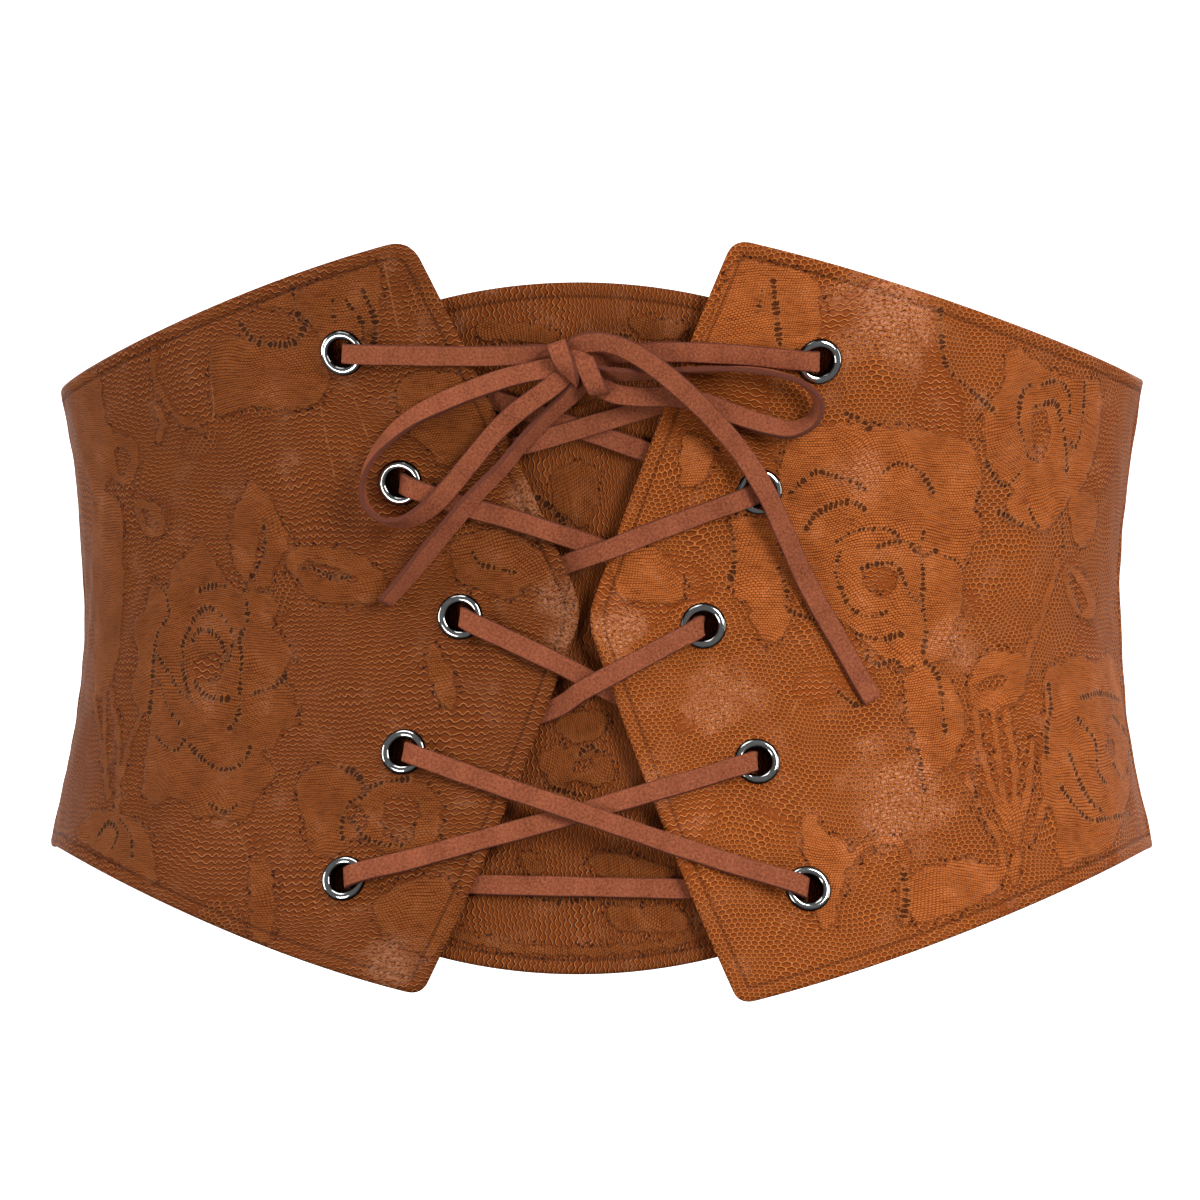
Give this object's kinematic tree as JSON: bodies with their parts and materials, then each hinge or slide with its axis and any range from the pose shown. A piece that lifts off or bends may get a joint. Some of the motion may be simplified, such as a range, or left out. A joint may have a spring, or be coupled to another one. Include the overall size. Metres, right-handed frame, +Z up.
{
  "type": "corset belt",
  "caption": "Corset belt of brown leather under floral lace: two peaked front panels drawn together by a flat lace through metal eyelets, tied in a bow, with a modesty panel and an elastic back",
  "frame": {"origin": "middle of the waist loop, on the waistline, where the front tips and the side seams are narrowest", "axes": "+X to the right of someone who looks at the front, +Y from the front to the back, +Z up"},
  "size_m": [0.259, 0.2001, 0.1716],
  "materials": {
    "panel_leather": "warm brown imitation leather with a semi-gloss grain under a floral net lace of a lighter brown",
    "modesty_leather": "the same leather and lace, duller and a little darker",
    "back_elastic": "plain brown ribbed elastic",
    "eyelet_nickel": "polished nickel",
    "lace_suede": "matt imitation suede, reddish brown, with darker cut edges"
  },
  "bodies": {
    "root": {"front_panel_left": "panel_leather", "front_panel_right": "panel_leather", "eyelet_left_1": "eyelet_nickel", "eyelet_left_2": "eyelet_nickel", "eyelet_left_3": "eyelet_nickel", "eyelet_left_4": "eyelet_nickel", "eyelet_left_5": "eyelet_nickel", "eyelet_right_1": "eyelet_nickel", "eyelet_right_2": "eyelet_nickel", "eyelet_right_3": "eyelet_nickel", "eyelet_right_4": "eyelet_nickel", "eyelet_right_5": "eyelet_nickel", "modesty_panel": "modesty_leather", "back_panel": "back_elastic", "lacing": "lace_suede", "bow_knot": "lace_suede", "bow_loop_left": "lace_suede", "lace_tail_left": "lace_suede", "bow_loop_right": "lace_suede", "lace_tail_right": "lace_suede"}
  },
  "joints": []
}
